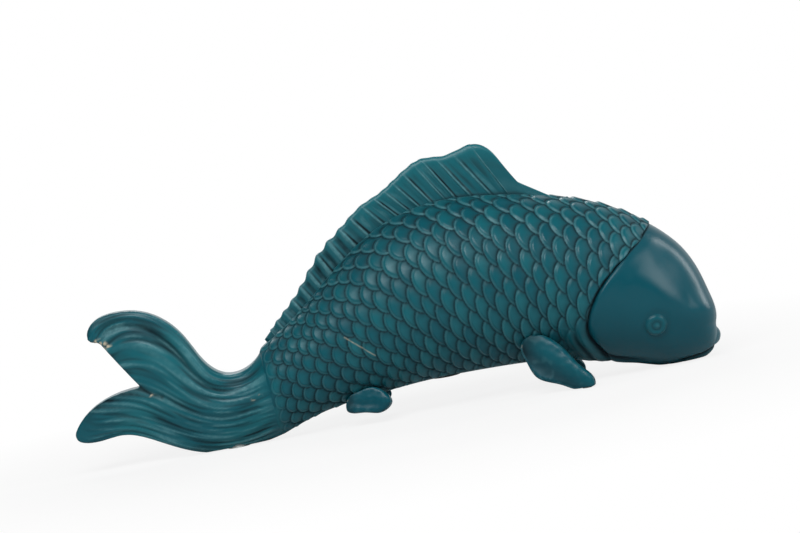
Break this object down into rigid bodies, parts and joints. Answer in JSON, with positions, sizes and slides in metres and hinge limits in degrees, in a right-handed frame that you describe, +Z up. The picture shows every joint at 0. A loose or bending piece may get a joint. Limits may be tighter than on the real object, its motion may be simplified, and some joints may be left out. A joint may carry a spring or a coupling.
{
  "type": "fish figurine",
  "caption": "Standing carp ornament in painted cast resin with scaled flanks, a pleated back fin, leaf-shaped paired fins and a forked tail.",
  "frame": {"origin": "on the floor under the middle of the fish's overall box", "axes": "+X from the tail to the snout, +Y to the fish's left, +Z up"},
  "size_m": [0.3399, 0.0834, 0.1304],
  "materials": {
    "painted_resin": "semi-gloss teal paint over cast resin",
    "eye_resin": "gloss",
    "pin_steel": "plain wire",
    "plug_rubber": "matt",
    "dot_silicone": "translucent matt"
  },
  "bodies": {
    "root": {"head_shell": "painted_resin", "trunk_shell": "painted_resin", "tail_casting": "painted_resin", "dorsal_fin": "painted_resin", "pectoral_fin_right": "painted_resin", "pectoral_fin_left": "painted_resin", "pelvic_fin_right": "painted_resin", "pelvic_fin_left": "painted_resin", "eye_right": "eye_resin", "eye_left": "eye_resin", "pectoral_pin_right": "pin_steel", "pectoral_pin_left": "pin_steel", "pelvic_pin_right": "pin_steel", "pelvic_pin_left": "pin_steel", "vent_plug": "plug_rubber", "chin_dot": "dot_silicone", "tail_dot": "dot_silicone", "fin_dot_right": "dot_silicone", "fin_dot_left": "dot_silicone"}
  },
  "joints": []
}
